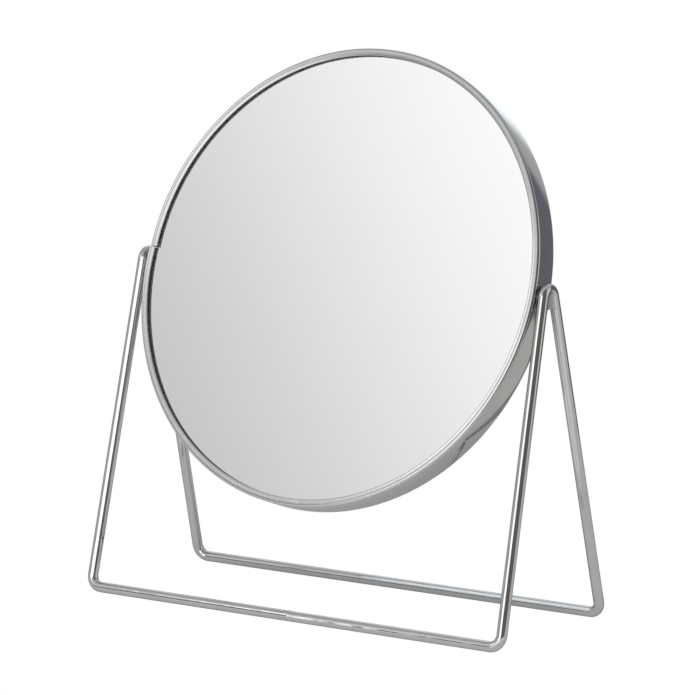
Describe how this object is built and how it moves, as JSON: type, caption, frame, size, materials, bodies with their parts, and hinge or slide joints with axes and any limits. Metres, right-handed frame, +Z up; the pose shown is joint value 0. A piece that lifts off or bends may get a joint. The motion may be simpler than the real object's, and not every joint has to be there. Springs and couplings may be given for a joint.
{
  "type": "table mirror",
  "caption": "Round two-sided shaving mirror in a rolled chromed rim, tilting between the crooks of a folded wire stand.",
  "frame": {"origin": "on the table, midway between the stand's four feet", "axes": "+X to the right as seen by a person in front of the plain pane, +Y away from that person, +Z up"},
  "size_m": [0.1904, 0.074, 0.2096],
  "materials": {
    "stand_chrome": "polished chrome plate on drawn steel wire",
    "rim_chrome": "chrome plate on rolled strip, lips slightly satin",
    "plain_mirror": "silvered float glass",
    "magnifying_mirror": "silvered bent glass",
    "plated_steel": "bright zinc plate",
    "spring_steel": "hardened, oiled",
    "nylon": "moulded, black",
    "fibre": "vulcanised fibre",
    "felt": "pressed",
    "board": "grey board"
  },
  "bodies": {
    "stand": {"stand_wire": "stand_chrome", "pivot_stud_left": "plated_steel", "pivot_stud_right": "plated_steel", "flat_washer_left": "plated_steel", "flat_washer_right": "plated_steel", "disc_spring_left": "spring_steel", "disc_spring_right": "spring_steel", "lock_nut_left": "plated_steel", "lock_nut_right": "plated_steel"},
    "mirror": {"rim": "rim_chrome", "rim_doubler": "plated_steel", "pivot_bush_left": "nylon", "pivot_bush_right": "nylon", "friction_liner_left": "fibre", "friction_liner_right": "fibre", "front_glass": "plain_mirror", "rear_glass": "magnifying_mirror", "front_pad": "felt", "core_board": "board", "spacer_ring": "felt"}
  },
  "joints": [
    {"name": "mirror_tilt", "type": "hinge", "parent": "stand", "child": "mirror", "pos_m": [0, 0, 0.125], "axis": [1, 0, 0], "continuous": true}
  ]
}
